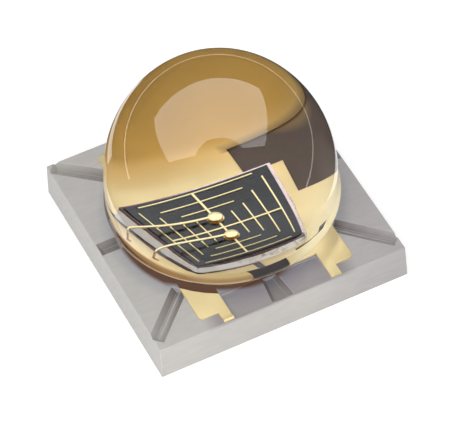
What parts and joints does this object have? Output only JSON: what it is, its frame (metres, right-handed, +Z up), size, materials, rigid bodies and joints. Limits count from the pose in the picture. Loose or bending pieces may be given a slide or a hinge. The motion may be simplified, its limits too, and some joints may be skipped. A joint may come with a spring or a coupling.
{
  "type": "surface-mount infrared emitter",
  "caption": "Square surface-mount infrared emitter with a gold-plated lead frame, a gridded chip and a large clear dome lens.",
  "frame": {"origin": "middle of the package's underside", "axes": "+Z up along the lens axis, -X towards the wire landing and its solder pad, -Y towards the tie bar with the burr"},
  "size_m": [0.0038, 0.0038, 0.0031],
  "materials": {
    "moulding": "matte grey moulded",
    "gold_plating": "satin gold plated",
    "solder": "reflowed solder",
    "carrier": "sawn semiconductor",
    "mirror_metal": "bright metal",
    "emitter": "polished semiconductor",
    "contact_gold": "bright gold",
    "bond_gold": "bright drawn gold",
    "silicone": "clear glossy silicone"
  },
  "bodies": {
    "root": {"housing": "moulding", "wire_land_lead": "gold_plating", "die_pad_lead": "gold_plating", "die_attach": "solder", "chip_carrier": "carrier", "mirror_layer": "mirror_metal", "emitting_layer": "emitter", "contact_grid": "contact_gold", "rear_bond_wire": "bond_gold", "front_bond_wire": "bond_gold", "lens": "silicone"}
  },
  "joints": []
}
